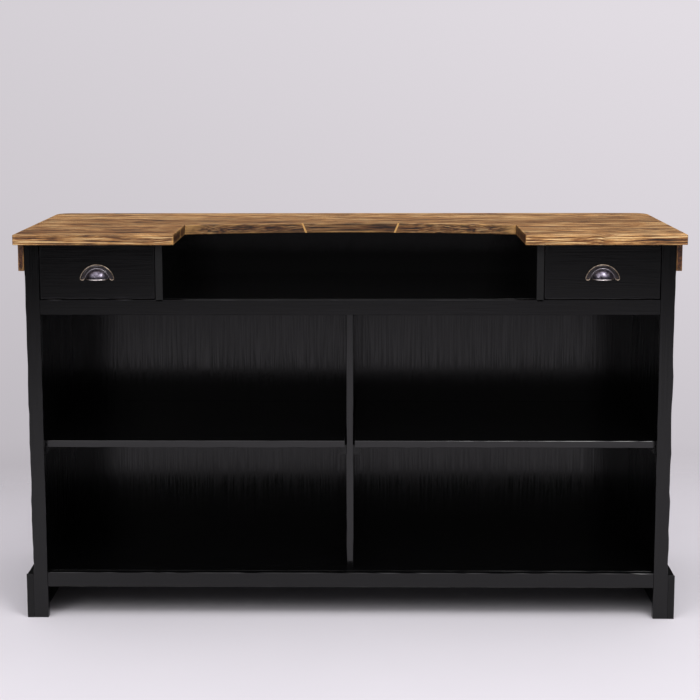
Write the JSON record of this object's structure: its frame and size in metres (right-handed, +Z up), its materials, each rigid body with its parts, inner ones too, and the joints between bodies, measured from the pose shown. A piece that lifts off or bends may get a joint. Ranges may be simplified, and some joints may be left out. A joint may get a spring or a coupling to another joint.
{
  "type": "bar counter with shelves",
  "caption": "Bar counter in black painted pine with a brown board worktop, cut away for the bartender over a shelf niche between drawers, and open shelving below.",
  "frame": {"origin": "on the floor, under the middle of the worktop", "axes": "+X along the counter to the bartender's right, +Y from the bartender to the customers, +Z up"},
  "size_m": [1.85, 0.6, 1.1],
  "materials": {
    "black_pine": "satin black paint over brushed pine",
    "brown_pine": "brushed and worn pine with a brown stain under a satin varnish",
    "raw_pine": "planed pine, unpainted",
    "pull_metal": "antique pewter plating worn to brass along the rim",
    "screw_steel": "zinc plated"
  },
  "bodies": {
    "carcass": {"back_panel_left": "black_pine", "back_panel_right": "black_pine", "bottom_rail": "black_pine", "bottom_shelf": "black_pine", "customer_muntin": "black_pine", "customer_rail_lower": "black_pine", "customer_rail_upper": "black_pine", "customer_stile_left": "black_pine", "customer_stile_right": "black_pine", "divider_left": "black_pine", "divider_right": "black_pine", "drawer_guide_left": "black_pine", "drawer_guide_right": "black_pine", "drawer_kicker_left": "black_pine", "drawer_kicker_right": "black_pine", "drawer_stop_left": "black_pine", "drawer_stop_right": "black_pine", "frieze_customer": "brown_pine", "frieze_left": "brown_pine", "frieze_right": "brown_pine", "front_stile_left": "black_pine", "front_stile_right": "black_pine", "loose_shelf_left": "black_pine", "loose_shelf_right": "black_pine", "mid_rail": "black_pine", "niche_floor": "black_pine", "partition": "black_pine", "partition_cleat_left": "black_pine", "partition_cleat_right": "black_pine", "plinth_customer": "black_pine", "plinth_left": "black_pine", "plinth_right": "black_pine", "side_cleat_left": "black_pine", "side_cleat_right": "black_pine", "side_panel_left": "black_pine", "side_panel_right": "black_pine", "top_batten_left": "black_pine", "top_batten_rear": "black_pine", "top_batten_right": "black_pine", "top_board_front_left": "brown_pine", "top_board_front_right": "brown_pine", "top_board_inner_left": "brown_pine", "top_board_inner_right": "brown_pine", "top_board_middle": "brown_pine", "top_board_rear": "brown_pine", "top_screws": "screw_steel"},
    "drawer_left": {"cup_pull_left": "pull_metal", "drawer_back_left": "raw_pine", "drawer_bottom_left": "raw_pine", "drawer_front_left": "black_pine", "drawer_side_inner_left": "raw_pine", "drawer_side_outer_left": "raw_pine", "pull_screws_left": "pull_metal"},
    "drawer_right": {"cup_pull_right": "pull_metal", "drawer_back_right": "raw_pine", "drawer_bottom_right": "raw_pine", "drawer_front_right": "black_pine", "drawer_side_inner_right": "raw_pine", "drawer_side_outer_right": "raw_pine", "pull_screws_right": "pull_metal"}
  },
  "joints": [
    {"name": "drawer_left_slide", "type": "slide", "parent": "carcass", "child": "drawer_left", "axis": [0, -1, 0], "range_m": [0, 0.34]},
    {"name": "drawer_right_slide", "type": "slide", "parent": "carcass", "child": "drawer_right", "axis": [0, -1, 0], "range_m": [0, 0.34]}
  ]
}
